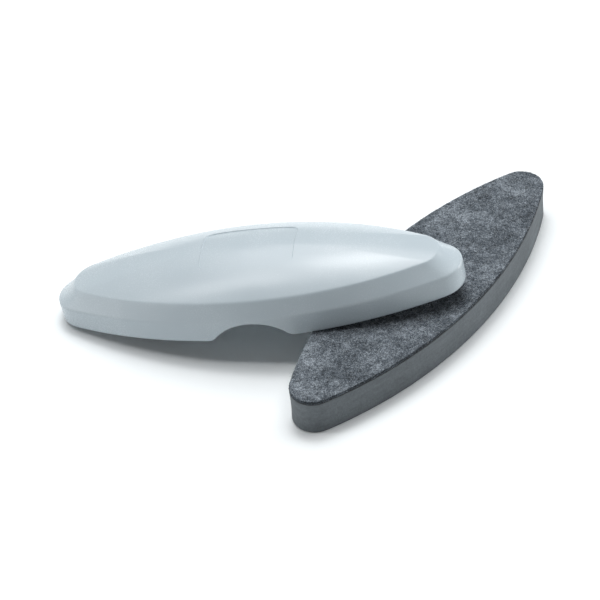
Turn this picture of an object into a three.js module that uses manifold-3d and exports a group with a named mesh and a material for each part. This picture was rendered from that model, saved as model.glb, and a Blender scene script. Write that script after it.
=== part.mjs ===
// A dry-wipe board eraser in two loose halves: a hollow moulded grip shell, and the felt-faced foam
// pad that pushes into it. The pad lies felt side up, and the shell leans on it, open side down.
// Millimetres, +Z up. The object stands on z = 0 with the middle of its footprint at the origin.
import * as THREE from 'three';
import { mergeVertices } from 'three/addons/utils/BufferGeometryUtils.js';
import Module from 'manifold-3d';

const wasm = await Module();
wasm.setup();

// ---------------------------------------------------------------- driving dimensions

// Every outline is a lens: two side arcs that run into a small round end at each tip.
const RIM = { length: 165, width: 55.2, endRadius: 12 };
const DOME_EDGE = { length: 148.5, width: 50.3, endRadius: 8 };

const SKIRT_HEIGHT = 9.2; // rim to crease
const EDGE_HEIGHT = 15.7; // rim to the dome's edge, at the two tips
const EDGE_RISE = 1.1; // how much higher that edge is at mid-length
const DOME_HEIGHT = 26.4; // rim to the top of the dome
const TIP_HOLLOW = 0.35; // how hollow the groove is at the tips; along the sides it is straight
const TIP_TURN = 8; // how suddenly it turns hollow towards the tips
const WALL = 2; // side wall and roof
const EDGE_WALL = 1.9;

const NOTCH = { height: 7.6, radius: 19.6, toeRadius: 4 }; // thumb cut-out in both long sides
const PANEL = { length: 38, width: 24, cornerRadius: 4, depth: 0.4 }; // blank, sunk into the dome

const PAD_STOP = 7.5; // rim to the ribs' lower edges, where the pad's back comes to rest
const RIB = { thickness: 1.6, offsets: [26, 46] };
const LANDING = { length: 31, width: 24, thickness: 1.6, offset: 36, height: 8.8 };

const PAD_CLEARANCE = 0.85; // each side, pad to inner skirt
const FOAM_THICKNESS = 14.7;
const FILM_THICKNESS = 0.3;
const FELT_THICKNESS = 1.5;
const FELT_EDGE_ROUND = 0.4;

const PATCH = { length: 30, width: 22, thickness: 1.0, cornerRadius: 2 };
const POCKET_CLEARANCE = 0.4; // around and above a loop patch in the foam's back
const TOUCH_GAP = 0.3; // between pieces that rest on each other

// How the two halves lie: the pad is yawed under the shell, and the shell's far end rides up on it.
const PAD_PLACE = { x: 63.6, y: 5.4, yaw: 58.5 };
const SHELL_PLACE = { z: 11.8, roll: -3.6, tilt: -7.9 };

const SIDE_STEPS = 18; // facets along one side arc
const END_STEPS = 10; // facets round one tip

// ---------------------------------------------------------------- outlines and lofts

// Points of a lens outline, anticlockwise from the start of the +X tip.
function lens({ length, width, endRadius }) {
  const tipX = length / 2 - endRadius;
  const sideRadius = (tipX ** 2 + width ** 2 / 4 - endRadius ** 2) / (width - 2 * endRadius);
  const sideY = sideRadius - width / 2;
  const turn = Math.atan2(sideY, tipX);
  const half = [];
  for (let i = 0; i < END_STEPS; i += 1) {
    const angle = turn * (-1 + (2 * i) / END_STEPS);
    half.push([tipX + endRadius * Math.cos(angle), endRadius * Math.sin(angle)]);
  }
  for (let i = 0; i < SIDE_STEPS; i += 1) {
    const angle = turn + ((Math.PI - 2 * turn) * i) / SIDE_STEPS;
    half.push([sideRadius * Math.cos(angle), sideRadius * Math.sin(angle) - sideY]);
  }
  return [...half, ...half.map(([x, y]) => [-x, -y])];
}

function inset(outline, distance) {
  return {
    length: outline.length - 2 * distance,
    width: outline.width - 2 * distance,
    endRadius: outline.endRadius - distance,
  };
}

function level(outline, z) {
  return lens(outline).map(([x, y]) => [x, y, z]);
}

// A closed body through a stack of rings that all have the same number of points. Each end is
// closed on its ring's middle. The rings run upwards outside, or downwards inside.
function loft(rings) {
  const count = rings[0].length;
  const middle = (ring) => {
    const mean = (k) => ring.reduce((sum, point) => sum + point[k], 0) / count;
    return [mean(0), mean(1), mean(2)];
  };
  const points = [...rings.flat(), middle(rings[0]), middle(rings[rings.length - 1])];
  const first = points.length - 2;
  const last = points.length - 1;
  const index = [];
  for (let j = 0; j < count; j += 1) {
    const next = (j + 1) % count;
    index.push(first, next, j);
    for (let i = 0; i + 1 < rings.length; i += 1) {
      const low = i * count;
      const high = low + count;
      index.push(low + j, low + next, high + next);
      index.push(low + j, high + next, high + j);
    }
    const top = (rings.length - 1) * count;
    index.push(last, top + j, top + next);
  }
  const geometry = new THREE.BufferGeometry();
  geometry.setAttribute('position', new THREE.Float32BufferAttribute(points.flat(), 3));
  geometry.setIndex(index);
  return geometry;
}

function roundedRectangle(length, width, radius) {
  const x = length / 2 - radius;
  const y = width / 2 - radius;
  const shape = new THREE.Shape();
  shape.absarc(x, y, radius, 0, Math.PI / 2);
  shape.absarc(-x, y, radius, Math.PI / 2, Math.PI);
  shape.absarc(-x, -y, radius, Math.PI, 1.5 * Math.PI);
  shape.absarc(x, -y, radius, 1.5 * Math.PI, 2 * Math.PI);
  return shape;
}

function plate(length, width, radius, thickness) {
  const shape = roundedRectangle(length, width, radius);
  return new THREE.ExtrudeGeometry(shape, { depth: thickness, bevelEnabled: false, curveSegments: 5 });
}

// ---------------------------------------------------------------- booleans

function toSolid(geometry) {
  const bare = geometry.clone();
  bare.deleteAttribute('normal');
  bare.deleteAttribute('uv');
  const merged = mergeVertices(bare, 1e-4);
  return new wasm.Manifold(new wasm.Mesh({
    numProp: 3,
    vertProperties: new Float32Array(merged.attributes.position.array),
    triVerts: new Uint32Array(merged.index.array),
  }));
}

function toGeometry(solid) {
  const mesh = solid.getMesh();
  const geometry = new THREE.BufferGeometry();
  geometry.setAttribute('position', new THREE.BufferAttribute(mesh.vertProperties, 3));
  geometry.setIndex(new THREE.BufferAttribute(mesh.triVerts, 1));
  geometry.computeVertexNormals();
  return geometry;
}

// ---------------------------------------------------------------- grip shell

// The finger groove, from the crease up to the dome's edge. Along the sides it is narrow, steep and
// straight. Towards the tips it opens into a slightly hollow ledge.
function groove(outer, low, inner, high, steps) {
  const from = lens(outer);
  const to = lens(inner);
  const rings = [];
  for (let i = 0; i <= steps; i += 1) {
    const share = i / steps;
    const angle = (Math.PI / 2) * share;
    rings.push(from.map(([x, y], j) => {
      const hollow = TIP_HOLLOW * Math.abs((2 * x) / outer.length) ** TIP_TURN;
      const across = share + (Math.sin(angle) - share) * hollow;
      const up = share + (1 - Math.cos(angle) - share) * hollow;
      return [
        x + (to[j][0] - x) * across,
        y + (to[j][1] - y) * across,
        low + (edgeHeight(to[j][0], high) - low) * up,
      ];
    }));
  }
  return rings;
}

function edgeHeight(x, atTip) {
  return atTip + EDGE_RISE * (1 - ((2 * x) / DOME_EDGE.length) ** 2);
}

// The dome over its edge ring: a shallow crown, round both along and across.
function crown(edge, atTip, top, steps) {
  const rim = lens(edge);
  const rings = [];
  for (let i = 1; i < steps; i += 1) {
    const scale = 1 - i / steps;
    rings.push(rim.map(([x, y]) => [
      x * scale,
      y * scale,
      top - (top - edgeHeight(x, atTip)) * scale ** 2,
    ]));
  }
  return rings;
}

function shellBody() {
  const inside = inset(RIM, WALL);
  const insideEdge = inset(DOME_EDGE, EDGE_WALL);
  const outerSkin = [
    level(RIM, 0),
    ...groove(RIM, SKIRT_HEIGHT, DOME_EDGE, EDGE_HEIGHT, 5),
    ...crown(DOME_EDGE, EDGE_HEIGHT, DOME_HEIGHT, 7),
  ];
  const innerSkin = [
    level(inside, 0),
    ...groove(inside, SKIRT_HEIGHT - WALL, insideEdge, EDGE_HEIGHT - WALL, 4),
    ...crown(insideEdge, EDGE_HEIGHT - WALL, DOME_HEIGHT - WALL, 6),
  ];
  return toSolid(loft([...innerSkin.reverse(), ...outerSkin]));
}

// Everything inside the middle of the shell's wall, to trim the ribs and landings against.
function insideMidWall() {
  const rim = inset(RIM, WALL / 2);
  const edge = inset(DOME_EDGE, EDGE_WALL / 2);
  const atTip = EDGE_HEIGHT - WALL / 2;
  return toSolid(loft([
    level(rim, PAD_STOP / 2),
    ...groove(rim, SKIRT_HEIGHT - WALL / 2, edge, atTip, 4),
    ...crown(edge, atTip, DOME_HEIGHT - WALL / 2, 6),
  ]));
}

// Arch of one thumb notch with rounded toes, cut right across both long sides.
function notchCutter() {
  const { height, radius, toeRadius } = NOTCH;
  const centre = height - radius;
  const toeX = Math.sqrt((radius + toeRadius) ** 2 - (toeRadius - centre) ** 2);
  const lean = Math.atan2(toeRadius - centre, toeX);
  const below = -5;
  const shape = new THREE.Shape();
  shape.moveTo(-toeX, below);
  shape.lineTo(toeX, below);
  shape.absarc(toeX, toeRadius, toeRadius, -Math.PI / 2, -Math.PI + lean, true);
  shape.absarc(0, centre, radius, lean, Math.PI - lean, false);
  shape.absarc(-toeX, toeRadius, toeRadius, -lean, -Math.PI / 2, true);
  shape.closePath();
  const reach = RIM.width + 10;
  const options = { depth: reach, bevelEnabled: false, curveSegments: 10 };
  const geometry = new THREE.ExtrudeGeometry(shape, options);
  geometry.rotateX(Math.PI / 2);
  geometry.translate(0, reach / 2, 0);
  return toSolid(geometry);
}

// Ribs across the shell stop the pad, and carry a flat landing for each hook patch.
function ribsAndLandings() {
  const height = DOME_HEIGHT - PAD_STOP;
  let inner = null;
  const join = (geometry) => {
    const solid = toSolid(geometry);
    inner = inner ? inner.add(solid) : solid;
  };
  for (const side of [-1, 1]) {
    for (const offset of RIB.offsets) {
      const rib = new THREE.BoxGeometry(RIB.thickness, RIM.width, height);
      join(rib.translate(side * offset, 0, PAD_STOP + height / 2));
      const window = new THREE.BoxGeometry(RIB.thickness * 2, LANDING.width, LANDING.height - PAD_STOP);
      const gap = toSolid(window.translate(side * offset, 0, (LANDING.height + PAD_STOP) / 2));
      inner = inner.subtract(gap);
    }
    const landing = new THREE.BoxGeometry(LANDING.length, LANDING.width, LANDING.thickness);
    join(landing.translate(side * LANDING.offset, 0, LANDING.height + LANDING.thickness / 2));
  }
  return inner.intersect(insideMidWall());
}

// Cuts the shallow blank panel, whose floor follows the dome.
function panelCutter() {
  const { length, width, cornerRadius, depth } = PANEL;
  const belowFloor = toSolid(loft([
    level(DOME_EDGE, SKIRT_HEIGHT),
    ...crown(DOME_EDGE, EDGE_HEIGHT - depth, DOME_HEIGHT - depth, 14),
  ]));
  const prism = plate(length, width, cornerRadius, DOME_HEIGHT);
  return toSolid(prism.translate(0, 0, SKIRT_HEIGHT)).subtract(belowFloor);
}

function gripShell() {
  const solid = shellBody().add(ribsAndLandings()).subtract(panelCutter()).subtract(notchCutter());
  return toGeometry(solid);
}

// ---------------------------------------------------------------- pad

const PAD = inset(RIM, WALL + PAD_CLEARANCE);

function foamBlock() {
  let foam = toSolid(loft([level(PAD, 0), level(PAD, FOAM_THICKNESS)]));
  const length = PATCH.length + 2 * POCKET_CLEARANCE;
  const width = PATCH.width + 2 * POCKET_CLEARANCE;
  const depth = PATCH.thickness + 2 * POCKET_CLEARANCE;
  for (const side of [-1, 1]) {
    const pocket = plate(length, width, PATCH.cornerRadius, 2 * depth);
    foam = foam.subtract(toSolid(pocket.translate(side * LANDING.offset, 0, -depth)));
  }
  return toGeometry(foam);
}

function filmSheet() {
  return loft([level(PAD, 0), level(PAD, FILM_THICKNESS)]);
}

function feltFacing() {
  return loft([
    level(PAD, 0),
    level(PAD, FELT_THICKNESS - FELT_EDGE_ROUND),
    level(inset(PAD, FELT_EDGE_ROUND * 0.3), FELT_THICKNESS - FELT_EDGE_ROUND * 0.3),
    level(inset(PAD, FELT_EDGE_ROUND), FELT_THICKNESS),
  ]);
}

// ---------------------------------------------------------------- materials and assembly

function finish(color, roughness) {
  return new THREE.MeshStandardMaterial({ color, roughness, metalness: 0 });
}

function named(name, geometry, material, x = 0, y = 0, z = 0) {
  const mesh = new THREE.Mesh(geometry, material);
  mesh.name = name;
  mesh.position.set(x, y, z);
  return mesh;
}

function patch() {
  return plate(PATCH.length, PATCH.width, PATCH.cornerRadius, PATCH.thickness);
}

const shellPlastic = finish(0xc3ccd1, 0.42);
const foamGrey = finish(0x585e63, 0.95);
const filmDark = finish(0x2b2e31, 0.6);
const feltBlue = finish(0x5d676f, 1);
const fastenerBlack = finish(0x1d1f21, 0.9);

function cover() {
  const group = new THREE.Group();
  group.add(named('grip_shell', gripShell(), shellPlastic));
  const hookZ = LANDING.height - TOUCH_GAP - PATCH.thickness;
  for (const [name, side] of [['hook_patch_left', -1], ['hook_patch_right', 1]]) {
    group.add(named(name, patch(), fastenerBlack, side * LANDING.offset, 0, hookZ));
  }
  group.position.set(0, 0, SHELL_PLACE.z);
  const radians = THREE.MathUtils.degToRad;
  group.rotation.set(radians(SHELL_PLACE.roll), radians(SHELL_PLACE.tilt), 0, 'ZYX');
  return group;
}

function pad() {
  const group = new THREE.Group();
  group.add(named('pad_foam', foamBlock(), foamGrey));
  group.add(named('bond_film', filmSheet(), filmDark, 0, 0, FOAM_THICKNESS));
  group.add(named('felt_facing', feltFacing(), feltBlue, 0, 0, FOAM_THICKNESS + FILM_THICKNESS));
  for (const [name, side] of [['loop_patch_left', -1], ['loop_patch_right', 1]]) {
    group.add(named(name, patch(), fastenerBlack, side * LANDING.offset, 0, POCKET_CLEARANCE));
  }
  group.position.set(PAD_PLACE.x, PAD_PLACE.y, 0);
  group.rotation.z = THREE.MathUtils.degToRad(PAD_PLACE.yaw);
  return group;
}

// Moves the assembly so that its footprint's middle is at the origin and its underside is at z = 0.
function centred(group) {
  group.updateMatrixWorld(true);
  const box = new THREE.Box3().setFromObject(group, true);
  const middle = box.getCenter(new THREE.Vector3());
  group.position.set(-middle.x, -middle.y, -box.min.z);
  return group;
}

const eraser = new THREE.Group();
eraser.add(pad(), cover());

export default centred(eraser);
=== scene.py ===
"""A dry-wipe board eraser in its two loose halves: the hollow grip shell leans on the felt pad."""
import math

import bmesh
import bpy
import numpy as np
from mathutils import Euler, Matrix, Vector, noise


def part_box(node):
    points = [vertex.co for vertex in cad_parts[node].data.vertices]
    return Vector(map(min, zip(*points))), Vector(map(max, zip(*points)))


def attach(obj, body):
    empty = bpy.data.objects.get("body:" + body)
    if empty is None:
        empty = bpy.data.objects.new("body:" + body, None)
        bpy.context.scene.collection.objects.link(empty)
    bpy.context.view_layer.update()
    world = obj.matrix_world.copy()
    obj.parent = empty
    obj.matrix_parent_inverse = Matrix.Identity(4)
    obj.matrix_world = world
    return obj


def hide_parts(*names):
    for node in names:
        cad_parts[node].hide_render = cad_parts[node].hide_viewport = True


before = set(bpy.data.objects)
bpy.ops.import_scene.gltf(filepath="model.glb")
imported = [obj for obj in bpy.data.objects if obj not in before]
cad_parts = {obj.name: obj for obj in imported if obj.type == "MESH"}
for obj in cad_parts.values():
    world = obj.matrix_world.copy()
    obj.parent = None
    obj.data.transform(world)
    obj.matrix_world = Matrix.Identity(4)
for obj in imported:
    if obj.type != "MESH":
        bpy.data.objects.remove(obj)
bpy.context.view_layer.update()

# ------------------------------------------------------------------ Grip shell: the moulding
# The upper half is one injection moulding in pale silvery-blue styrene, about 2 mm thick all over.
# A vertical skirt holds the pad, a finger groove runs round above it, and a shallow dome with a
# blank sunk panel closes the top. A notch in each long side lets a thumb and finger pinch the pad.
# Inside, four ribs stop the pad, and two flat landings carry the hook tape.

MM = 0.001
OUTLINE_SAMPLES = 20000
RIM = {"length": 165, "width": 55.2, "end": 12}
DOME_EDGE = {"length": 148.5, "width": 50.3, "end": 10}
WALL = 2.0
EDGE_WALL = 1.9
SKIRT_HEIGHT = 9.2
EDGE_HEIGHT = 15.7
EDGE_RISE = 1.1
DOME_HEIGHT = 26.4
TIP_HOLLOW = 0.25
TIP_TURN = 8
CROWN_POWER = 2.0
NOTCH = {"height": 7.6, "radius": 19.6, "toe": 4.0}
PANEL = {"length": 38, "width": 24, "corner": 4, "depth": 0.4, "floor_inset": 0.4}
# The panel's wall, as (how far in from its outline, share of the depth).
PANEL_WALL = [(-0.06, 0.0), (0.03, 0.1), (0.12, 0.5), (0.21, 0.9), (0.3, 1.0), (0.4, 1.0)]
PAD_STOP = 7.5
RIB = {"thickness": 1.6, "offsets": (26, 46), "root": 0.7, "least_height": 0.3}
LANDING = {"length": 31, "width": 24, "corner": 1.5, "thickness": 1.6, "offset": 36, "height": 8.8}
RIB_SAMPLES = 241
MOULDED_EDGE = 0.25
# Edges that turn further than these are rounded off, and are shaded as edges.
BEVEL_OVER = math.radians(40)
SHARP_OVER = math.radians(50)

SHELL_STATIONS = 540
INSIDE_STEPS = {"skirt": 7, "roof": 17}
OUTSIDE_STEPS = {"skirt": 11, "dome": 45, "panel": 13}
# The innermost rings, as shares of the way out, and how the dome's rings crowd to its edge.
ROOF_MIDDLE = 0.04
PANEL_MIDDLE = 0.05
DOME_CROWDING = 1.3
# The shell's corners are rounded most at mid-length, and least past a share of the way to a tip.
BLUNT_SHARE = 0.62
CREASE_ROUNDING = {"reach": 4, "least": 0.15, "gain": 0.4, "rounds": 4}
EDGE_ROUNDING = {"reach": 7, "least": 0.1, "gain": 0.6, "rounds": 9}
RIM_ROUNDING = {"reach": 3, "least": 0.5, "gain": 0.0, "rounds": 2}

pad_low, pad_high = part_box("pad_foam")
PAD_PLACE = Vector(((pad_low.x + pad_high.x) / 2, (pad_low.y + pad_high.y) / 2, 0))
SHELL_FROM_PAD = Vector((-63.6, -5.4, 11.8)) * MM
SHELL_LEAN = Euler((math.radians(-3.6), math.radians(-7.9), 0)).to_matrix()


def inset(outline, distance):
    """The lens outline moved inwards by a distance all round."""
    return {
        "length": outline["length"] - 2 * distance,
        "width": outline["width"] - 2 * distance,
        "end": outline["end"] - distance,
    }


def lens_radius(outline, angle):
    """Distance from the middle of a lens outline to its edge, in each polar direction."""
    half, wide, end = outline["length"] / 2, outline["width"] / 2, outline["end"]
    tip = half - end
    side = (tip**2 + wide**2 - end**2) / (2 * (wide - end))
    back = side - wide
    meet = math.atan2(back, tip)
    corner = math.atan2(end * math.sin(meet), tip + end * math.cos(meet))
    across, up = np.abs(np.cos(angle)), np.abs(np.sin(angle))
    on_side = np.sqrt(np.maximum(side**2 - (across * back) ** 2, 0)) - up * back
    on_tip = across * tip + np.sqrt(np.maximum(end**2 - (up * tip) ** 2, 0))
    return np.where(np.arctan2(up, across) < corner, on_tip, on_side)


def even_angles(outline, count):
    """Polar directions that step evenly along a lens outline, starting at the +X tip."""
    fine = np.linspace(0, 2 * math.pi, OUTLINE_SAMPLES + 1)
    radius = lens_radius(outline, fine)
    steps = np.hypot(np.diff(radius * np.cos(fine)), np.diff(radius * np.sin(fine)))
    walked = np.concatenate([[0], np.cumsum(steps)])
    return np.interp(np.arange(count) / count * walked[-1], walked, fine)


def panel_radius(angle, shrink):
    """Distance from the middle to a rounded rectangle's edge, in each polar direction."""
    corner = PANEL["corner"] - shrink
    x, y = PANEL["length"] / 2 - PANEL["corner"], PANEL["width"] / 2 - PANEL["corner"]
    across, up = np.abs(np.cos(angle)), np.abs(np.sin(angle))
    to_end = (x + corner) / np.maximum(across, 1e-9)
    to_side = (y + corner) / np.maximum(up, 1e-9)
    along = x * across + y * up
    to_corner = along + np.sqrt(np.maximum(along**2 - x**2 - y**2 + corner**2, 0))
    past_end, past_side = to_end * up > y, to_side * across > x
    return np.where(~past_end, to_end, np.where(~past_side, to_side, to_corner))


def notch_height(x):
    """How far the rim is cut away at a place along the shell."""
    radius, toe = NOTCH["radius"], NOTCH["toe"]
    middle = NOTCH["height"] - radius
    toe_x = math.sqrt((radius + toe) ** 2 - (toe - middle) ** 2)
    join = toe_x * radius / (radius + toe)
    away = np.abs(x)
    arch = middle + np.sqrt(np.maximum(radius**2 - away**2, 0))
    foot = toe - np.sqrt(np.maximum(toe**2 - np.minimum(away - toe_x, 0) ** 2, 0))
    return np.where(away < join, arch, foot)


def along_shell(x):
    """0 at mid-length, 1 at either tip."""
    return np.clip(np.abs(x) / (RIM["length"] / 2), 0, 1)


def edge_height(x, at_tip):
    """Height of the dome's edge, which bows up a little towards mid-length."""
    return at_tip + EDGE_RISE * (1 - (2 * x / DOME_EDGE["length"]) ** 2)


def groove_rings(angle, outer, low, inner, high, steps):
    """The finger groove's rings, from the crease to the dome's edge, as (radius, height)."""
    start, stop = lens_radius(outer, angle), lens_radius(inner, angle)
    hollow = TIP_HOLLOW * along_shell(start * np.cos(angle)) ** TIP_TURN
    climb = edge_height(stop * np.cos(angle), high) - low
    rings = []
    for share in np.linspace(0, 1, steps + 1):
        turn = share * math.pi / 2
        across = share + (math.sin(turn) - share) * hollow
        up = share + (1 - math.cos(turn) - share) * hollow
        rings.append((start + (stop - start) * across, low + climb * up))
    return rings


def crown_height(radius, angle, edge, at_tip, top):
    """Height of the dome over a point, from the share of the way out to the dome's edge."""
    out = lens_radius(edge, angle)
    foot = edge_height(out * np.cos(angle), at_tip)
    return top - (top - foot) * (radius / out) ** CROWN_POWER


def soften(radius, height, row, rounding, blunt):
    """Rounds the corner that the rings make at one row, by averaging neighbours."""
    rows = np.arange(len(radius))
    near = np.clip(1 - np.abs(rows - row) / rounding["reach"], 0, 1)[1:-1, None]
    pull = near * (rounding["least"] + rounding["gain"] * blunt)
    for _ in range(rounding["rounds"]):
        for grid in (radius, height):
            grid[1:-1] += pull * (grid[:-2] + grid[2:] - 2 * grid[1:-1]) / 2


def mesh_object(name, points, faces, smooth=True):
    """A mesh object at the origin."""
    mesh = bpy.data.meshes.new(name)
    mesh.from_pydata([tuple(p) for p in points], [], faces)
    mesh.validate()
    mesh.update()
    mesh.polygons.foreach_set("use_smooth", [smooth] * len(mesh.polygons))
    obj = bpy.data.objects.new(name, mesh)
    bpy.context.scene.collection.objects.link(obj)
    return obj


def ring_faces(rings, count):
    """Quads between rings that follow each other, each ring anticlockwise from outside."""
    faces = []
    for i in range(rings - 1):
        low = i * count
        for j in range(count):
            k = (j + 1) % count
            faces.append((low + j, low + k, low + count + k, low + count + j))
    return faces


def fan(centre, ring, count, up):
    """Triangles from a middle point to a ring."""
    pairs = [(ring + j, ring + (j + 1) % count) for j in range(count)]
    return [(centre, a, b) if up else (centre, b, a) for a, b in pairs]


def ring_grids(angle, rings):
    """Rings given as (radius, height) as two grids, one row for each ring."""
    radius = np.array([r for r, _ in rings])
    height = np.array([np.broadcast_to(h, len(angle)) for _, h in rings], float)
    return radius, height


def ring_solid(angle, radius, height):
    """A closed solid through rings that run up its outside."""
    points = np.stack([radius * np.cos(angle), radius * np.sin(angle), height], -1).reshape(-1, 3)
    rings, count = radius.shape
    base, top = points[:count].mean(0), points[-count:].mean(0)
    faces = ring_faces(rings, count)
    faces += fan(len(points), 0, count, False)
    faces += fan(len(points) + 1, len(points) - count, count, True)
    return np.vstack([points, base, top]), faces


def shell_matrix():
    """From the shell's own frame, in millimetres, to where it leans."""
    place = Matrix.Translation(PAD_PLACE + SHELL_FROM_PAD) @ SHELL_LEAN.to_4x4()
    return place @ Matrix.Scale(MM, 4)


def skin_rings(angle, crease_height, rim_wall, edge, at_tip, steps):
    """Rings from the rim up one face of the wall to the dome's edge."""
    rim = inset(RIM, rim_wall)
    out = lens_radius(rim, angle)
    cut = notch_height(out * np.cos(angle))
    rows = []
    for share in np.linspace(0, 1, steps, endpoint=False):
        rows.append((out, cut + (crease_height - cut) * share))
    return rows + groove_rings(angle, rim, crease_height, edge, at_tip, steps * 2)


def inside_rings(angle):
    """Rings up the inside of the wall and in over the roof, to near its middle."""
    edge, at_tip, top = inset(DOME_EDGE, EDGE_WALL), EDGE_HEIGHT - WALL, DOME_HEIGHT - WALL
    rings = skin_rings(angle, SKIRT_HEIGHT - WALL, WALL, edge, at_tip, INSIDE_STEPS["skirt"])
    out = lens_radius(edge, angle)
    for share in np.linspace(1, ROOF_MIDDLE, INSIDE_STEPS["roof"] + 1)[1:]:
        rings.append((out * share, crown_height(out * share, angle, edge, at_tip, top)))
    return rings


def dome_ring(angle, radius, sunk=0.0):
    """One ring on the dome, or sunk below it."""
    height = crown_height(radius, angle, DOME_EDGE, EDGE_HEIGHT, DOME_HEIGHT)
    return radius, height - sunk


def outside_rings(angle):
    """Rings up the outside of the wall, in over the dome, and down into the sunk panel."""
    rings = skin_rings(angle, SKIRT_HEIGHT, 0, DOME_EDGE, EDGE_HEIGHT, OUTSIDE_STEPS["skirt"])
    out, panel = lens_radius(DOME_EDGE, angle), panel_radius(angle, 0)
    for share in 1 - np.linspace(0, 1, OUTSIDE_STEPS["dome"] + 1)[1:] ** DOME_CROWDING:
        rings.append(dome_ring(angle, panel + (out - panel) * share))
    for shrink, share in PANEL_WALL:
        rings.append(dome_ring(angle, panel_radius(angle, shrink), share * PANEL["depth"]))
    inside = panel_radius(angle, PANEL["floor_inset"])
    for share in np.linspace(1, PANEL_MIDDLE, OUTSIDE_STEPS["panel"] + 1)[1:]:
        rings.append(dome_ring(angle, inside * share, PANEL["depth"]))
    return rings


def shell_skins():
    """The moulding's rings, from the middle of the inside roof, down, round the rim and up."""
    angle = even_angles(RIM, SHELL_STATIONS)
    along = along_shell(lens_radius(RIM, angle) * np.cos(angle))
    blunt = np.clip(1 - (along / BLUNT_SHARE) ** 2, 0, 1)
    in_radius, in_height = ring_grids(angle, inside_rings(angle)[::-1])
    out_radius, out_height = ring_grids(angle, outside_rings(angle))
    crease = OUTSIDE_STEPS["skirt"]
    edge = crease + 2 * OUTSIDE_STEPS["skirt"]
    soften(out_radius, out_height, crease, CREASE_ROUNDING, blunt)
    soften(out_radius, out_height, edge, EDGE_ROUNDING, blunt)
    rim_radius = (in_radius[-1] + out_radius[0]) / 2
    rim_height = notch_height(rim_radius * np.cos(angle))
    radius = np.vstack([in_radius, rim_radius, out_radius])
    height = np.vstack([in_height, rim_height, out_height])
    soften(radius, height, len(in_radius), RIM_ROUNDING, blunt)
    return angle, radius, height


def inner_height(x, y):
    """Height of the moulding's inside face over points between its ribs' ends."""
    edge = inset(DOME_EDGE, EDGE_WALL)
    radius, angle = np.hypot(x, y), np.arctan2(y, x)
    foot, stop = lens_radius(inset(RIM, WALL), angle), lens_radius(edge, angle)
    climb = np.clip((foot - radius) / (foot - stop), 0, 1)
    crease = SKIRT_HEIGHT - WALL
    groove = crease + (edge_height(stop * np.cos(angle), EDGE_HEIGHT - WALL) - crease) * climb
    roof = crown_height(radius, angle, edge, EDGE_HEIGHT - WALL, DOME_HEIGHT - WALL)
    return np.where(radius < stop, roof, groove)


def bevelled(points, faces, width):
    """The same solid with its sharp edges rounded off."""
    mesh = bmesh.new()
    corners = [mesh.verts.new(p) for p in points]
    for face in faces:
        mesh.faces.new([corners[i] for i in face])
    mesh.normal_update()
    sharp = [e for e in mesh.edges if e.calc_face_angle(0) > BEVEL_OVER]
    bmesh.ops.bevel(mesh, geom=sharp, offset=width, segments=2, profile=0.5, affect="EDGES")
    mesh.verts.index_update()
    result = [tuple(v.co) for v in mesh.verts], [[v.index for v in f.verts] for f in mesh.faces]
    mesh.free()
    return result


def rib(x):
    """One stop rib across the shell, notched in the middle for the landing's tape."""
    side = RIM["width"] / 2 - WALL
    across = np.linspace(-side, side, RIB_SAMPLES)
    across = across[inner_height(np.full_like(across, x), across) > PAD_STOP + RIB["least_height"]]
    roof = inner_height(np.full_like(across, x), across) + RIB["root"]
    gap = LANDING["width"] / 2
    foot = PAD_STOP + np.where(np.abs(across) < gap, LANDING["height"] - PAD_STOP, 0)
    count = len(across)
    points, faces = [], []
    for step in (-0.5, 0.5):
        place = x + step * RIB["thickness"]
        points += [(place, y, z) for y, z in zip(across, foot)]
        points += [(place, y, z) for y, z in zip(across, roof)]
    for j in range(count - 1):
        low, high = j, count + j
        faces += [(low, high, high + 1, low + 1)]
        low, high = 2 * count + j, 3 * count + j
        faces += [(low, low + 1, high + 1, high)]
        faces += [(j, j + 1, 2 * count + j + 1, 2 * count + j)]
        faces += [(count + j, 3 * count + j, 3 * count + j + 1, count + j + 1)]
    for j, turn in ((0, 1), (count - 1, -1)):
        faces.append((j, 2 * count + j, 3 * count + j, count + j)[::turn])
    return points, faces


def rounded_outline(length, width, corner, steps=6):
    """Corner points of a rounded rectangle, anticlockwise."""
    points = []
    for turn, (sx, sy) in enumerate(((1, 1), (-1, 1), (-1, -1), (1, -1))):
        for angle in np.linspace(0, math.pi / 2, steps) + turn * math.pi / 2:
            x = sx * (length / 2 - corner) + corner * math.cos(angle)
            points.append((x, sy * (width / 2 - corner) + corner * math.sin(angle)))
    return points


def plate(length, width, corner, low, high, x=0.0):
    """A flat rounded plate as points and faces."""
    outline = rounded_outline(length, width, corner)
    count = len(outline)
    points = [(x + a, b, z) for z in (low, high) for a, b in outline]
    faces = [tuple(range(count))[::-1], tuple(range(count, 2 * count))]
    for j in range(count):
        k = (j + 1) % count
        faces.append((j, k, count + k, count + j))
    return points, faces


def together(parts):
    """Several solids as one list of points and one of faces."""
    points, faces = [], []
    for part_points, part_faces in parts:
        first = len(points)
        points += [tuple(p) for p in part_points]
        faces += [tuple(first + i for i in face) for face in part_faces]
    return points, faces


class Signal:
    """One output of a material's nodes. Arithmetic on it adds Math nodes."""

    def __init__(self, finish, output):
        self.finish = finish
        self.output = output

    def math(self, operation, first, second=None):
        inputs = {0: first} if second is None else {0: first, 1: second}
        return self.finish.node("ShaderNodeMath", {"operation": operation}, inputs)

    def __add__(self, other):
        return self.math("ADD", self, other)

    __radd__ = __add__

    def __sub__(self, other):
        return self.math("SUBTRACT", self, other)

    def __rsub__(self, other):
        return self.math("SUBTRACT", other, self)

    def __mul__(self, other):
        return self.math("MULTIPLY", self, other)

    __rmul__ = __mul__


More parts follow.
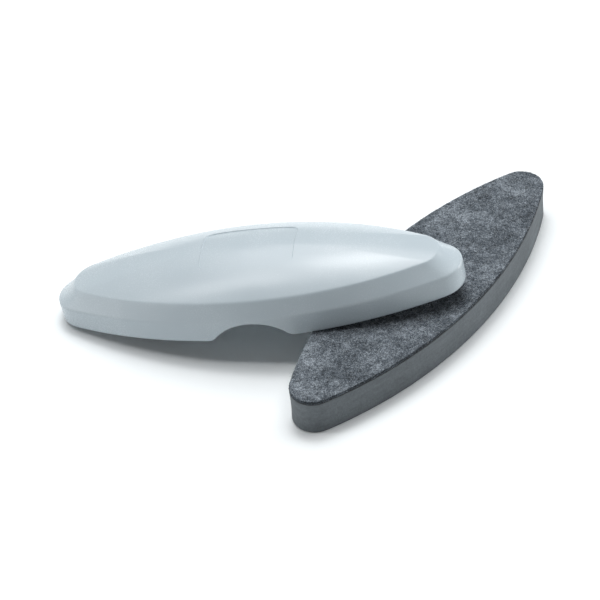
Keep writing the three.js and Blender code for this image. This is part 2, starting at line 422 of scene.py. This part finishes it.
class Finish:
    """A material with one Principled shader, and the nodes that feed it."""

    def __init__(self, name, **constants):
        self.material = bpy.data.materials.new(name)
        self.material.use_nodes = True
        self.tree = self.material.node_tree
        self.shader = self.tree.nodes["Principled BSDF"]
        for socket, value in constants.items():
            self.shader.inputs[socket.replace("_", " ")].default_value = value

    def node(self, kind, settings, inputs, output=0):
        """A node of a type, its settings first, then the values or links of its inputs."""
        node = self.tree.nodes.new(kind)
        for name, value in settings.items():
            if name == "stops":
                self.set_stops(node.color_ramp, value)
            else:
                setattr(node, name, value)
        for name, value in inputs.items():
            self.feed(node.inputs[name], value)
        return Signal(self, node.outputs[output])

    def set_stops(self, ramp, stops):
        while len(ramp.elements) < len(stops):
            ramp.elements.new(0.5)
        for element, (place, colour) in zip(ramp.elements, stops):
            element.position = place
            element.color = (*colour, 1)

    def feed(self, socket, value):
        if isinstance(value, Signal):
            self.tree.links.new(value.output, socket)
        else:
            socket.default_value = value

    def place(self, stretch=None, turn=0.0):
        """Where the surface is, optionally turned about Z and then stretched."""
        here = self.node("ShaderNodeTexCoord", {}, {}, "Object")
        if stretch is None:
            return here
        about = {"Vector": here, "Angle": turn}
        turned = self.node("ShaderNodeVectorRotate", {"rotation_type": "Z_AXIS"}, about)
        return self.node("ShaderNodeVectorMath", {"operation": "MULTIPLY"}, {0: turned, 1: stretch})

    def noise(self, scale, detail=2.0, roughness=0.5, at=None):
        """Noise whose features are about 1 / scale metres across."""
        inputs = {"Vector": at or self.place(), "Scale": scale, "Detail": detail}
        return self.node("ShaderNodeTexNoise", {}, {**inputs, "Roughness": roughness})

    def stored(self, name):
        """A value that the mesh carries for each point."""
        return self.node("ShaderNodeAttribute", {"attribute_name": name}, {}, "Fac")

    def ramp(self, tone, stops):
        return self.node("ShaderNodeValToRGB", {"stops": stops}, {"Fac": tone})

    def mix(self, factor, first, second):
        """Two colours mixed. The node's sockets share names, so they go by number."""
        settings = {"data_type": "RGBA", "clamp_factor": True}
        return self.node("ShaderNodeMix", settings, {0: factor, 6: first, 7: second}, 2)

    def bump(self, height, distance, strength):
        inputs = {"Height": height, "Distance": distance, "Strength": strength}
        self.feed(self.shader.inputs["Normal"], self.node("ShaderNodeBump", {}, inputs))

    def colour(self, value):
        self.feed(self.shader.inputs["Base Color"], value)

    def roughness(self, value):
        self.feed(self.shader.inputs["Roughness"], value)


def paint(obj, finish):
    """Gives an object one material."""
    obj.data.materials.clear()
    obj.data.materials.append(finish.material)


def shell_finish():
    """Satin styrene off a fine spark-eroded mould: a tight grain, and faint flow shading."""
    finish = Finish("shell_plastic", IOR=1.5)
    cloudy = finish.noise(28.0, 3.0)
    grain = finish.noise(2400.0, 2.0, 0.6)
    coarse = finish.noise(900.0, 1.0)
    pale, deep = (0.478, 0.545, 0.585, 1), (0.432, 0.50, 0.543, 1)
    finish.colour(finish.mix((cloudy - 0.35) * 2.5, deep, pale))
    finish.roughness(0.2 + 0.08 * grain + 0.05 * cloudy)
    finish.bump(grain * 0.7 + coarse * 0.3, 0.0001, 0.3)
    return finish


parts = [ring_solid(*shell_skins())]
for side in (-1, 1):
    for offset in RIB["offsets"]:
        parts.append(bevelled(*rib(side * offset), MOULDED_EDGE))
    low = LANDING["height"]
    landing = plate(
        LANDING["length"], LANDING["width"], LANDING["corner"], low, low + LANDING["thickness"],
        side * LANDING["offset"],
    )
    parts.append(bevelled(*landing, MOULDED_EDGE))
points, faces = together(parts)
grip = mesh_object("grip_shell_moulding", points, faces)
grip.data.transform(shell_matrix())
grip.data.set_sharp_from_angle(angle=SHARP_OVER)
paint(grip, shell_finish())
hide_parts("grip_shell")
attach(grip, "cover")

# ------------------------------------------------------------------ Hook tape patches
# Two black patches of hook tape, glued to the landings inside the shell. Each is a woven nylon
# ground with rows of cut monofilament hooks, whose bent tips all lean along their row.

PATCH = {"length": 30, "width": 22, "corner": 2.0, "thickness": 1.0}
GROUND = 0.38
GROUND_EDGE = 0.1
STRAND_ROOT = GROUND - 0.05
TOUCH_GAP = 0.3
HOOK_MARGIN = 2.4
HOOK_PITCH = 1.3


class Tree:
    """A Geometry Nodes tree whose named inputs are set on the modifier that uses it."""

    def __init__(self, name):
        self.group = bpy.data.node_groups.new(name, "GeometryNodeTree")
        face = self.group.interface
        face.new_socket("Geometry", in_out="INPUT", socket_type="NodeSocketGeometry")
        face.new_socket("Geometry", in_out="OUTPUT", socket_type="NodeSocketGeometry")
        self.start = self.group.nodes.new("NodeGroupInput")
        self.end = self.group.nodes.new("NodeGroupOutput")

    def input(self, name, kind):
        """A named input of a kind: Float, Int, Vector or Material."""
        self.group.interface.new_socket(name, in_out="INPUT", socket_type="NodeSocket" + kind)
        return self.start.outputs[name]

    def node(self, kind, settings, inputs, output=0):
        """A node of a type, its settings first, then the values or links of its inputs."""
        node = self.group.nodes.new(kind)
        for name, value in settings.items():
            setattr(node, name, value)
        for name, value in inputs.items():
            if isinstance(value, bpy.types.NodeSocket):
                self.group.links.new(value, node.inputs[name])
            else:
                node.inputs[name].default_value = value
        return node.outputs[output]

    def finish(self, geometry):
        self.group.links.new(geometry, self.end.inputs["Geometry"])

    def use(self, name, points, faces, values, matrix):
        """The tree's result over a plain mesh, as a finished mesh object in the row frame."""
        source = mesh_object(name + "_source", points, faces)
        modifier = source.modifiers.new("grow", "NODES")
        modifier.node_group = self.group
        for item in self.group.interface.items_tree:
            if item.name in values:
                modifier[item.identifier] = values[item.name]
        evaluated = source.evaluated_get(bpy.context.evaluated_depsgraph_get())
        mesh = bpy.data.meshes.new_from_object(evaluated)
        source.modifiers.clear()
        bpy.data.objects.remove(source)
        mesh.transform(matrix)
        mesh.polygons.foreach_set("use_smooth", [True] * len(mesh.polygons))
        obj = bpy.data.objects.new(name, mesh)
        bpy.context.scene.collection.objects.link(obj)
        return obj


def strand_tree(name, scattered):
    """Bent strands on a mesh: scattered over its faces, or one on each of its points.

    Random Value's sockets share names across its types, so they go by number.
    """
    tree = Tree(name)
    seed = tree.input("Seed", "Int")
    if scattered:
        spread = {"Mesh": tree.start.outputs["Geometry"], "Density": tree.input("Density", "Float")}
        places = tree.node("GeometryNodeDistributePointsOnFaces", {}, {**spread, "Seed": seed})
    else:
        places = tree.node("GeometryNodeMeshToPoints", {}, {"Mesh": tree.start.outputs["Geometry"]})
    bend = {
        "Start": tree.input("Start", "Vector"),
        "Middle": tree.input("Middle", "Vector"),
        "End": tree.input("End", "Vector"),
        "Resolution": tree.input("Steps", "Int"),
    }
    curve = tree.node("GeometryNodeCurveQuadraticBezier", {}, bend)
    ring = {"Resolution": 3, "Radius": tree.input("Radius", "Float")}
    profile = tree.node("GeometryNodeCurvePrimitiveCircle", {}, ring)
    sweep = {"Curve": curve, "Profile Curve": profile, "Fill Caps": True}
    strand = tree.node("GeometryNodeCurveToMesh", {}, sweep)
    vector = {"data_type": "FLOAT_VECTOR"}
    least, most = tree.input("Least turn", "Vector"), tree.input("Most turn", "Vector")
    turn = tree.node("FunctionNodeRandomValue", vector, {0: least, 1: most, "Seed": seed})
    smallest = tree.input("Least size", "Float")
    size = tree.node("FunctionNodeRandomValue", {}, {2: smallest, 3: 1.0, "Seed": seed}, 1)
    put = {"Points": places, "Instance": strand, "Rotation": turn, "Scale": size}
    strands = tree.node("GeometryNodeInstanceOnPoints", {}, put)
    shade = tree.node("FunctionNodeRandomValue", {}, {2: 0.0, 3: 1.0, "Seed": seed}, 1)
    store = {"Geometry": strands, "Name": "shade", "Value": shade}
    marked = tree.node("GeometryNodeStoreNamedAttribute", {"domain": "INSTANCE"}, store)
    real = tree.node("GeometryNodeRealizeInstances", {}, {"Geometry": marked})
    dressed = {"Geometry": real, "Material": tree.input("Material", "Material")}
    tree.finish(tree.node("GeometryNodeSetMaterial", {}, dressed))
    return tree


def ground_finish(name, pale, deep):
    """Black woven nylon: fine ribs one way, crossed by finer ones."""
    finish = Finish(name, Roughness=0.7)
    warp = finish.noise(1.0, 2.0, 0.6, finish.place((2600.0, 700.0, 1500.0), 0.3))
    weft = finish.noise(1.0, 2.0, 0.6, finish.place((600.0, 2200.0, 1500.0), 0.3))
    finish.colour(finish.mix(warp * 0.6 + weft * 0.4, deep, pale))
    finish.bump(warp + weft, 0.0001, 0.8)
    return finish


def strand_finish(name, pale, deep, roughness):
    """Nylon strands, each its own shade."""
    finish = Finish(name)
    lint = finish.noise(400.0, 2.0)
    finish.colour(finish.mix(finish.stored("shade") * 0.7 + lint * 0.3, deep, pale))
    finish.roughness(roughness + 0.2 * lint)
    return finish


def grid_points(length, width, step, stagger):
    """Places for hooks in rows, every other row shifted, clear of the patch's edge."""
    points = []
    for row, y in enumerate(np.arange(-width / 2, width / 2 + 0.01, step)):
        shift = stagger * (row % 2)
        points += [(x + shift, y, 0) for x in np.arange(-length / 2, length / 2 - 0.01, step)]
    return points


def patch(name, node, body, ground, strands, matrix):
    """A tape patch: its woven ground, whose back is at z = 0, and the strands that stand on it."""
    points, faces = plate(PATCH["length"], PATCH["width"], PATCH["corner"], 0, GROUND)
    points, faces = bevelled(points, faces, GROUND_EDGE)
    base = mesh_object(name + "_ground", points, faces)
    base.data.transform(matrix)
    paint(base, ground)
    for obj in (base, strands):
        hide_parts(node)
        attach(obj, body)


hook_tree = strand_tree("hook_rows", scattered=False)
hook_ground = ground_finish("hook_ground", (0.03, 0.03, 0.032, 1), (0.01, 0.01, 0.011, 1))
hook_nylon = strand_finish("hook_nylon", (0.06, 0.06, 0.063, 1), (0.018, 0.018, 0.02, 1), 0.3)
hook_shape = {
    "Start": (0, 0, STRAND_ROOT),
    "Middle": (0.1, 0, 1.55),
    "End": (0.62, 0, 0.55),
    "Steps": 7,
    "Radius": 0.085,
    "Least turn": (-0.12, -0.12, -0.15),
    "Most turn": (0.12, 0.12, 0.15),
    "Least size": 0.88,
    "Seed": 3,
    "Material": hook_nylon.material,
}
for name, side in (("left", -1), ("right", 1)):
    back = LANDING["height"] - TOUCH_GAP
    matrix = shell_matrix() @ Matrix.Translation((side * LANDING["offset"], 0, back))
    matrix = matrix @ Matrix.Rotation(math.pi, 4, "X")
    length, width = PATCH["length"] - HOOK_MARGIN, PATCH["width"] - HOOK_MARGIN
    rows = grid_points(length, width, HOOK_PITCH, HOOK_PITCH / 2)
    hooks = hook_tree.use("hook_rows_" + name, rows, [], hook_shape, matrix)
    patch(
        "hook_tape_" + name, "hook_patch_" + name, "cover", hook_ground, hooks, matrix
    )

# ------------------------------------------------------------------ Foam pad
# The pad's body is 15 mm closed-cell foam, die-cut to the skirt's inside outline less a clearance.
# The knife draws the sides in a little at mid-height, and opens cells there. Two shallow pockets in
# the back take the loop tape.

PAD_CLEARANCE = 0.85
PAD = inset(RIM, WALL + PAD_CLEARANCE)
PAD_YAW = math.radians(58.5)
FOAM_THICKNESS = 14.7
FILM_THICKNESS = 0.3
FELT_THICKNESS = 1.5
POCKET_CLEARANCE = 0.4
# The cut block's corners, as (in from the outline, up from the base or down from the top).
BASE_CORNER = [(0.9, 0.0), (0.35, 0.08), (0.1, 0.35)]
TOP_CORNER = [(0.06, 0.1), (0.5, 0.0)]
SIDE_SPAN = (0.9, FOAM_THICKNESS - 0.6)
DRAWN_IN = 0.3
KNIFE_WAVER = 0.09
FOAM_STATIONS = 420
FOAM_SIDE_RINGS = 18
# The flat faces have one ring inside their edge, at this share of the way out.
CORE = 0.5


def pad_matrix():
    """From the pad's own frame, in millimetres, to where it lies."""
    return Matrix.Translation(PAD_PLACE) @ Matrix.Rotation(PAD_YAW, 4, "Z") @ Matrix.Scale(MM, 4)


def foam_block():
    """The cut block. Its side is drawn in at mid-height, and wavers where the knife passed."""
    angle = even_angles(PAD, FOAM_STATIONS)
    edge = lens_radius(PAD, angle)
    rings = [(edge * CORE, 0)] + [(edge - back, up) for back, up in BASE_CORNER]
    for share in np.linspace(0, 1, FOAM_SIDE_RINGS):
        height = SIDE_SPAN[0] + (SIDE_SPAN[1] - SIDE_SPAN[0]) * share
        belly = math.sin(math.pi * share)
        waver = [
            KNIFE_WAVER * belly * noise.noise(Vector((r * 0.11, a * 9, height * 0.12)))
            for r, a in zip(edge, angle)
        ]
        rings.append((edge - DRAWN_IN * belly + np.array(waver), height))
    rings += [(edge - back, FOAM_THICKNESS - down) for back, down in TOP_CORNER]
    rings.append((edge * CORE, FOAM_THICKNESS))
    return ring_solid(angle, *ring_grids(angle, rings))


def cut_away(obj, cutter):
    """Cuts one solid out of another, and drops the cutter."""
    modifier = obj.modifiers.new("cut", "BOOLEAN")
    modifier.operation = "DIFFERENCE"
    modifier.object = cutter
    evaluated = obj.evaluated_get(bpy.context.evaluated_depsgraph_get())
    obj.data = bpy.data.meshes.new_from_object(evaluated)
    obj.modifiers.clear()
    bpy.data.objects.remove(cutter)


def foam_finish():
    """Dark closed-cell foam: fine open cells, faint drag lines of the knife, cloudy bands."""
    finish = Finish("pad_foam", IOR=1.45)
    cells = finish.noise(1500.0, 2.0, 0.7)
    pits = finish.noise(600.0, 1.0)
    drag = finish.noise(1.0, 3.0, 0.6, finish.place((60.0, 60.0, 900.0)))
    cloudy = finish.noise(45.0, 3.0)
    pale, deep = (0.175, 0.197, 0.212, 1), (0.09, 0.104, 0.114, 1)
    tone = cloudy * 0.9 + (cells - 0.5) * 1.1 + (drag - 0.5) * 0.7 + (pits - 0.5) * 0.5
    finish.colour(finish.mix(tone, deep, pale))
    finish.roughness(0.62 + 0.3 * cells)
    finish.bump(cells * 0.5 + pits * 0.3 + drag * 0.2, 0.0003, 0.6)
    return finish


points, faces = foam_block()
foam = mesh_object("pad_foam_block", points, faces)
for side in (-1, 1):
    length = PATCH["length"] + 2 * POCKET_CLEARANCE
    width = PATCH["width"] + 2 * POCKET_CLEARANCE
    depth = PATCH["thickness"] + 2 * POCKET_CLEARANCE
    points, faces = plate(length, width, PATCH["corner"], -depth, depth, side * LANDING["offset"])
    cut_away(foam, mesh_object("pocket", points, faces))
foam.data.transform(pad_matrix())
foam.data.set_sharp_from_angle(angle=SHARP_OVER)
paint(foam, foam_finish())
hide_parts("pad_foam")
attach(foam, "pad")

# ------------------------------------------------------------------ Bond film
# A dark contact-adhesive film holds the felt on the foam. Only its edge shows, where the hot film
# was pressed out unevenly between the two.

FILM_STATIONS = 640
# The film's edge from bottom to top, as (in from the outline, height).
FILM_PROFILE = [
    (0.25, 0.0), (0.05, 0.04), (0.0, FILM_THICKNESS / 2), (0.05, FILM_THICKNESS - 0.04),
    (0.25, FILM_THICKNESS),
]


def outline_noise(angle, edge, layer, fineness):
    """Smooth noise round an outline, between about -1 and 1."""
    spots = [Vector((r * math.cos(a), r * math.sin(a), layer)) for r, a in zip(edge, angle)]
    return np.array([noise.noise(spot * fineness) for spot in spots])


def film_sheet():
    """The film, with a rounded edge that stands out unevenly."""
    angle = even_angles(PAD, FILM_STATIONS)
    pressed = 0.1 * outline_noise(angle, lens_radius(PAD, angle), 3, 0.6) - 0.03
    edge = lens_radius(PAD, angle) + pressed
    rings = [(edge - back, FOAM_THICKNESS + up) for back, up in FILM_PROFILE]
    return ring_solid(angle, *ring_grids(angle, rings))


def film_finish():
    """Dark contact adhesive, smeared glossy and dull."""
    finish = Finish("bond_film")
    smear = finish.noise(500.0, 3.0)
    finish.colour(finish.mix(smear, (0.018, 0.02, 0.021, 1), (0.05, 0.053, 0.055, 1)))
    finish.roughness(0.35 + 0.4 * smear)
    return finish


points, faces = film_sheet()
film = mesh_object("bond_film_edge", points, faces)
film.data.transform(pad_matrix())
paint(film, film_finish())
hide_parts("bond_film")
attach(film, "pad")

# ------------------------------------------------------------------ Felt facing
# The wiping face is 1.5 mm needle felt, marled from pale and dark blue-grey fibre, laminated to the
# foam and die-cut with it. Its cut edge is pressed and dark, and loose fibres lie over the face.

FELT_STATIONS = 900
FELT_FACE_RINGS = 90
FELT_MIDDLE = 0.015
FELT_EDGE = 0.4
# The felt's cut edge from bottom to top, as (in from the outline, height).
FELT_PROFILE = [(0.4, 0), (0.1, 0.05), (0.06, 0.35), (0.0, 0.75), (0.04, 1.1), (0.16, 1.35)]
# The noises that make the edge ragged, as (depth, layer, fineness), and the face uneven, as
# (height, fineness).
RAGGED = [(0.16, 7, 1.3), (0.1, 9, 3.1)]
UNEVEN = [(0.1, 0.35), (0.07, 1.6)]
FACE_SINK = 0.05
FIBRE_STATIONS = 160


def felt_sheet():
    """The felt and, for each point, how much of the dark cut edge shows there."""
    angle = even_angles(PAD, FELT_STATIONS)
    edge = lens_radius(PAD, angle)
    ragged = sum(depth * outline_noise(angle, edge, *kind) for depth, *kind in RAGGED)
    rings = [(edge * CORE, 0)] + [(edge - back + ragged, up) for back, up in FELT_PROFILE]
    sides = len(rings)
    for share in np.linspace(1, FELT_MIDDLE, FELT_FACE_RINGS):
        rings.append(((edge - FELT_EDGE + ragged * share**20) * share, FELT_THICKNESS))
    radius, height = ring_grids(angle, rings)
    points, faces = ring_solid(angle, radius, height + FOAM_THICKNESS + FILM_THICKNESS)
    count = len(angle)
    cut = np.zeros(len(points))
    cut[count:sides * count] = 1
    for p in points[(sides - 1) * count:]:
        spot = Vector(p)
        lift = sum(high * noise.noise(spot * fineness) for high, fineness in UNEVEN)
        p[2] += lift - FACE_SINK
    return points, faces, cut


def felt_finish():
    """Marled felt: fine crossed streaks of pale and dark fibre, in soft clouds."""
    finish = Finish("felt", IOR=1.4, Roughness=1.0)
    marl = finish.noise(2100.0, 3.0, 0.7)
    streaks = [
        finish.noise(1.0, 3.0, 0.65, finish.place((3200.0, 750.0, 2000.0), turn))
        for turn in (0.3, 1.3, 2.4)
    ]
    blotch = finish.noise(330.0, 3.0, 0.6)
    cloud = finish.noise(60.0, 3.0, 0.6)
    grain = marl * 0.8 + streaks[0] * 0.8 + streaks[1] * 0.8 + streaks[2] * 0.8 - 1.6
    tone = grain * 1.7 + (blotch - 0.5) * 1.0 + (cloud - 0.5) * 1.0 + 0.5
    tone = tone - 0.32 * finish.stored("cut")
    dark, mid, pale = (0.019, 0.023, 0.028), (0.094, 0.112, 0.132), (0.32, 0.36, 0.4)
    finish.colour(finish.ramp(tone, [(0.0, dark), (0.5, mid), (1.0, pale)]))
    finish.bump(grain + blotch * 0.4, 0.0003, 0.8)
    return finish


def fibre_finish():
    """Loose felt fibre: most of it as dark as the felt, some of it nearly white."""
    finish = Finish("felt_fibre", Roughness=0.8)
    shade = finish.stored("shade")
    dark, mid, pale = (0.03, 0.036, 0.044), (0.11, 0.13, 0.15), (0.42, 0.46, 0.49)
    finish.colour(finish.ramp(shade, [(0.0, dark), (0.6, mid), (1.0, pale)]))
    return finish


points, faces, cut = felt_sheet()
felt = mesh_object("felt_face", points, faces)
felt.data.attributes.new("cut", "FLOAT", "POINT").data.foreach_set("value", cut)
felt.data.transform(pad_matrix())
paint(felt, felt_finish())

angle = even_angles(PAD, FIBRE_STATIONS)
edge = lens_radius(PAD, angle) - FELT_EDGE / 2
face = [(r * math.cos(a), r * math.sin(a), 0) for r, a in zip(edge, angle)]
fibre_shape = {
    "Start": (-1.5, 0, -0.08),
    "Middle": (0, 0.8, 0.35),
    "End": (1.5, 0, -0.08),
    "Steps": 5,
    "Radius": 0.032,
    "Density": 1.0,
    "Least turn": (-0.06, -0.06, 0),
    "Most turn": (0.06, 0.06, 2 * math.pi),
    "Least size": 0.4,
    "Seed": 11,
    "Material": fibre_finish().material,
}
top = FOAM_THICKNESS + FILM_THICKNESS + FELT_THICKNESS
matrix = pad_matrix() @ Matrix.Translation((0, 0, top))
fibre_tree = strand_tree("loose_fibres", scattered=True)
fibres = fibre_tree.use("felt_fibres", face, [tuple(range(len(face)))], fibre_shape, matrix)

fine = np.linspace(0, 2 * math.pi, OUTLINE_SAMPLES, endpoint=False)
felt_area = float((lens_radius(PAD, fine) ** 2).mean()) * math.pi * MM**2
for obj in (felt, fibres):
    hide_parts("felt_facing")
    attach(obj, "pad")

# ------------------------------------------------------------------ Loop tape patches
# Two black patches of brushed loop tape, glued in the pockets in the foam's back. When the pad is
# pushed into the shell, the hooks catch in their tangle of fine nylon loops.

PILE_MARGIN = 1.6

loop_tree = strand_tree("loop_pile", scattered=True)
loop_ground = ground_finish("loop_ground", (0.035, 0.035, 0.038, 1), (0.012, 0.012, 0.013, 1))
loop_nylon = strand_finish("loop_nylon", (0.085, 0.085, 0.09, 1), (0.02, 0.02, 0.022, 1), 0.55)
loop_shape = {
    "Start": (-0.55, 0, STRAND_ROOT),
    "Middle": (0.1, 0.25, 1.45),
    "End": (0.5, 0.1, STRAND_ROOT),
    "Steps": 6,
    "Radius": 0.03,
    "Density": 2.2,
    "Least turn": (-0.5, -0.5, 0),
    "Most turn": (0.5, 0.5, 2 * math.pi),
    "Least size": 0.6,
    "Seed": 5,
    "Material": loop_nylon.material,
}
length, width = PATCH["length"] - PILE_MARGIN, PATCH["width"] - PILE_MARGIN
outline = rounded_outline(length, width, PATCH["corner"])
pile = [(x, y, 0) for x, y in outline]
for name, side in (("left", -1), ("right", 1)):
    back = POCKET_CLEARANCE + PATCH["thickness"]
    matrix = pad_matrix() @ Matrix.Translation((side * LANDING["offset"], 0, back))
    matrix = matrix @ Matrix.Rotation(math.pi, 4, "X")
    loops = loop_tree.use("loop_pile_" + name, pile, [tuple(range(len(pile)))], loop_shape, matrix)
    patch(
        "loop_tape_" + name, "loop_patch_" + name, "pad", loop_ground, loops, matrix
    )

# ------------------------------------------------------------------ Floor, light and camera
# A white sweep under soft lamps. The largest hangs behind the shell, so that its near wall is lit
# by the floor. Two smaller ones lay the long highlight along the dome's near shoulder, a low one
# fills in from the left, and another lights the pad's end from the right.

CAMERA_FROM_SHELL = Vector((134.9, -656.4, 614.9)) * MM
LOOK_TURN = math.radians(10.33)
LOOK_DOWN = math.radians(42.21)
LOOK_ROLL = math.radians(-5.82)
LENS = 135.7
FLOOR_HALF = 4.0

sideways = Vector((math.cos(LOOK_TURN), math.sin(LOOK_TURN), 0))
forwards = Vector((-sideways.y, sideways.x, 0))
ahead = forwards * math.cos(LOOK_DOWN) - Vector((0, 0, math.sin(LOOK_DOWN)))
upwards = sideways.cross(ahead)
right = sideways * math.cos(LOOK_ROLL) + upwards * math.sin(LOOK_ROLL)
top = upwards * math.cos(LOOK_ROLL) - sideways * math.sin(LOOK_ROLL)
shell_foot = (PAD_PLACE + SHELL_FROM_PAD) * Vector((1, 1, 0))
camera_data = bpy.data.cameras.new("camera")
camera_data.lens = LENS
camera_data.clip_end = 20
camera = bpy.data.objects.new("camera", camera_data)
axes = Matrix((right, top, -ahead)).transposed()
camera.matrix_world = Matrix.Translation(shell_foot + CAMERA_FROM_SHELL) @ axes.to_4x4()
bpy.context.scene.collection.objects.link(camera)
bpy.context.scene.camera = camera

corners = [(x * FLOOR_HALF, y * FLOOR_HALF, 0) for x, y in ((-1, -1), (1, -1), (1, 1), (-1, 1))]
floor = mesh_object("floor", corners, [(0, 1, 2, 3)], smooth=False)
paint(floor, Finish("floor", Base_Color=(0.91, 0.945, 0.96, 1), Roughness=0.9))


def softbox(name, place, width, height, watts):
    """A rectangular area light that faces the object."""
    data = bpy.data.lights.new(name, "AREA")
    data.shape = "RECTANGLE"
    data.size, data.size_y = width, height
    data.energy = watts
    light = bpy.data.objects.new(name, data)
    light.location = place
    light.rotation_euler = Vector(place).to_track_quat("Z", "Y").to_euler()
    bpy.context.scene.collection.objects.link(light)


softbox("overhead", (0.05, 0.48, 1.3), width=1.5, height=1.2, watts=18.9)
softbox("highlight_right", (-0.02, 0.35, 1.35), width=0.3, height=0.25, watts=3.8)
softbox("highlight_left", (-0.62, -0.08, 1.3), width=0.12, height=0.7, watts=3.2)
softbox("fill", (-1.2, -0.62, 0.28), width=1.4, height=0.5, watts=3.5)
softbox("side", (1.2, 0.55, 0.26), width=0.6, height=0.4, watts=7.5)
world = bpy.data.worlds.new("studio")
world.use_nodes = True
background = world.node_tree.nodes["Background"]
background.inputs["Color"].default_value = (1, 1, 1, 1)
background.inputs["Strength"].default_value = 0.13
bpy.context.scene.world = world
bpy.context.scene.view_settings.view_transform = "Standard"
